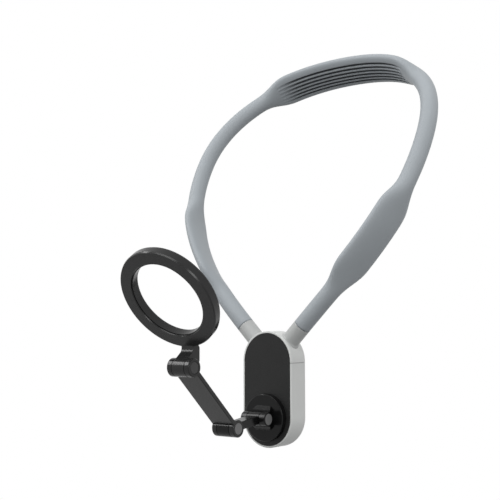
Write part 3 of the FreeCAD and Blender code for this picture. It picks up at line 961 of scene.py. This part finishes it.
def addBar(half, sizes):
    length, thick = sizes["length"], sizes["thickness"] / 2
    bar = addBlock("bar", (-half, -length, -thick), (half, 0, thick))
    choose(bar, "EDGE", lambda edge: abs(edge.verts[0].co.y - edge.verts[1].co.y) > near)
    bevel(sizes["barEdge"], edgeSteps["small"])
    objectMode()
    return bar


def makeShortLink():
    half = hinge["middleWidth"] / 2
    piece = addBar(half, link)
    for barrel, y in zip(link["barrels"], (0, -link["length"])):
        combine(piece, addBarrel(barrel, half, y, 0), "UNION")
        cutPinHole(piece, half, y, False)
    closeMesh(piece)
    softenEdges(piece, link["fineEdge"])
    settle(piece, jointPlace["hinge_1"], link["lean"])
    # finished with the painted-shade copy of the arm metal
    deliver(piece, "shortLink", "shadedArmMetal", "arm_metal", "link", "short_link")


def makeLongArm():
    half = arm["halfWidth"]
    piece = addBar(half, arm)
    for barrel, y in zip(arm["barrels"], (0, -arm["length"])):
        combine(piece, addBarrel(barrel, half, y, hinge["earEdge"]), "UNION")
    for barrel, y in zip(arm["barrels"], (0, -arm["length"])):
        combine(piece, addSlot(barrel, y), "DIFFERENCE")
        cutPinHole(piece, half, y, True)
    closeMesh(piece)
    smoothFaces(piece)
    settle(piece, jointPlace["hinge_2"], arm["lean"])
    deliver(piece, "longArm", "armMetal", "arm_metal", "arm", "long_arm")


makeShortLink()
makeLongArm()

# ring: stepped frame with its neck, drawn upright about its centre with the front face at y = 0
ring = {
    "lean": 34.5,
    "outer": 28.4,
    "inner": 20.9,
    "thickness": 4.7,
    "frontEdge": (0.4, 0.8),  # the bright chamfer: across the face, and back along the side
    "stepWidth": 0.8,
    "stepDepth": 0.8,
    "stepLip": (0.25, 0.5),  # the same at the step's edge
    "wall": 1.5,
    "frontWall": 1.3,
    "drop": 35.0,  # from the centre down to hinge 3
    "setBack": 8.3,  # from hinge 3 back to the front face
    "sides": 160,
    "smoothAngle": 25,  # so that the chamfers stay flat
    "neckHalf": 4.0,
    "neckEdge": 0.4,
    "neckTop": (0.7, -26.2),  # corners of the neck's side view, as (back, up) in the ring's own frame
    "neckBend": (-1.2, -29.7),
    "neckHeel": (0, -37.0),
    "neckRear": ((4.0, -31.2), (4.0, -27.7), (1.2, -27.7), (1.2, -26.2)),
    "neckBendRound": 1.6,
    "neckSink": 0.1,  # how far the neck's corners lie inside the knuckle
    "knuckle": 4.8,
}
ringPad = {"margin": 0.6, "thickness": 1.5, "edge": 0.45, "crown": 0.12}


def addRingBody():
    outer, inner, thick = ring["outer"], ring["inner"], ring["thickness"]
    body = addRound("ringBody", outer, 0, thick, "Y", sides=ring["sides"])
    choose(body, "FACE", lambda face: allAt(face, 1, 0))
    lipWide, lipDeep = ring["stepLip"]
    lipRadius = inner + ring["stepWidth"]
    inset(outer - lipRadius)
    push(0, lipDeep, 0)
    squeeze(1 - lipWide / lipRadius, 1, 1 - lipWide / lipRadius, (0, 0, 0))
    push(0, ring["stepDepth"] - lipDeep, 0)
    inset(ring["stepWidth"] - lipWide)
    channel = outer - inner - 2 * ring["wall"]
    depth = thick - ring["frontWall"]
    choose(body, "FACE", lambda face: allAt(face, 1, thick * mm))
    inset(ring["wall"])
    push(0, -depth, 0)
    inset(channel)
    push(0, depth, 0)
    inset(ring["wall"])
    choose(body, "FACE", lambda face: middleOf(face).xz.length < near)
    bpy.ops.mesh.bridge_edge_loops()
    edgeWide, edgeDeep = ring["frontEdge"]

    def onSide(corner, level):
        return abs(corner.co.xz.length - outer * mm) < near and abs(corner.co.y - level * mm) < near

    choose(body, "EDGE", lambda edge: all(onSide(corner, 0) for corner in edge.verts))
    bevel(edgeWide, edgeSteps["flat"])
    choose(body, "VERT", lambda vertex: onSide(vertex, edgeWide))
    bpy.ops.transform.translate(value=(0, (edgeDeep - edgeWide) * mm, 0))
    objectMode()
    return body


def addRingNeck():
    # an outline of (y, z) corners, drawn from a filled circle, then given its width
    front, knuckle, drop = -ring["setBack"], ring["knuckle"], ring["drop"]
    sunk = knuckle - ring["neckSink"]
    corners = [
        ring["neckTop"], ring["neckBend"], (front, sunk - drop), (front, -sunk - drop),
        ring["neckHeel"], *ring["neckRear"],
    ]
    half = ring["neckHalf"]
    clearSelection()
    bpy.ops.mesh.primitive_circle_add(vertices=len(corners), fill_type="NGON")
    neck = bpy.context.object
    for vertex, (y, z) in zip(neck.data.vertices, corners):
        vertex.co = Vector((-half, y, z)) * mm
    choose(neck, "FACE", lambda face: True)
    push(2 * half, 0, 0)
    objectMode()
    closeMesh(neck)
    bendY, bendZ = ring["neckBend"]
    choose(neck, "EDGE", lambda edge: allAt(edge, 1, bendY * mm) and allAt(edge, 2, bendZ * mm))
    bevel(ring["neckBendRound"], edgeSteps["bend"])
    choose(neck, "EDGE", lambda edge: allAt(edge, 0, half * mm) or allAt(edge, 0, -half * mm))
    bevel(ring["neckEdge"], edgeSteps["small"])
    objectMode()
    barrel = addBarrel(knuckle, hinge["middleWidth"] / 2, 0, 0)
    barrel.location = Vector((0, front, -drop)) * mm
    applyPlace(barrel)
    combine(neck, barrel, "UNION")
    reach, axle = half + spare, (0, front, -drop)
    hole = addRound("pinHole", hinge["pinHole"], -reach, reach, "X", axle, roundSides["hole"])
    combine(neck, hole, "DIFFERENCE")
    return neck


def placeOnRing(piece):
    # from the ring's own upright frame to hinge 3
    piece.location = Vector((0, ring["setBack"], ring["drop"])) * mm
    applyPlace(piece)
    settle(piece, jointPlace["hinge_3"], ring["lean"])


def makeRingFrame():
    body = addRingBody()
    combine(body, addRingNeck(), "UNION")
    closeMesh(body)
    smoothFaces(body, ring["smoothAngle"])
    placeOnRing(body)
    deliver(body, "ringFrame", "ringMetal", "ring_metal", "ring", "ring_frame")


def makeRingPad():
    # a soft face ring, rounded at both rims and a little crowned between them
    outer, inner = ring["outer"] - ringPad["margin"], ring["inner"] + ringPad["margin"]
    front, rear = ring["thickness"], ring["thickness"] + ringPad["thickness"]
    crown = ringPad["crown"]
    rim = (rear - crown) * mm
    pad = addRound("ringPad", outer, front, rear - crown, "Y", sides=ring["sides"])
    choose(pad, "FACE", lambda face: allAt(face, 1, rim))
    inset((outer - inner) / 2)
    bpy.ops.transform.translate(value=(0, crown * mm, 0))
    inset((outer - inner) / 2)
    bpy.ops.transform.translate(value=(0, -crown * mm, 0))
    choose(pad, "FACE", lambda face: allAt(face, 1, front * mm))
    inset(outer - inner)
    choose(pad, "FACE", lambda face: middleOf(face).xz.length < near)
    bpy.ops.mesh.bridge_edge_loops()
    choose(pad, "EDGE", lambda edge: allAt(edge, 1, rim))
    bevel(ringPad["edge"], edgeSteps["round"])
    objectMode()
    closeMesh(pad)
    smoothFaces(pad)
    placeOnRing(pad)
    deliver(pad, "ringPad", "padSilicone", "pad_silicone", "ring", "ring_pad")


makeRingFrame()
makeRingPad()

# which finish each carried-over node gets
nodeFinish = {
    "plateGrain": ["front_plate"],
    "pinMetal": ["hinge_1_screw", "hinge_2_screw", "hinge_1_nut", "hinge_2_nut"],
    "darkPin": ["hinge_3_screw", "hinge_3_nut"],
    "screwSteel": ["ferrule_nuts", "housing_screws", "swivel_washer", "swivel_screw", "ring_shield"],
    "washerNylon": ["hinge_1_washers", "hinge_2_washers", "hinge_3_washers"],
    "magnetNickel": ["ring_magnets"],
}
for finishName, nodeNames in nodeFinish.items():
    for nodeName in nodeNames:
        node = frame["nodes"][nodeName]
        node.data.materials.clear()
        node.data.materials.append(finishOf[finishName])
print("carried-over nodes finished")
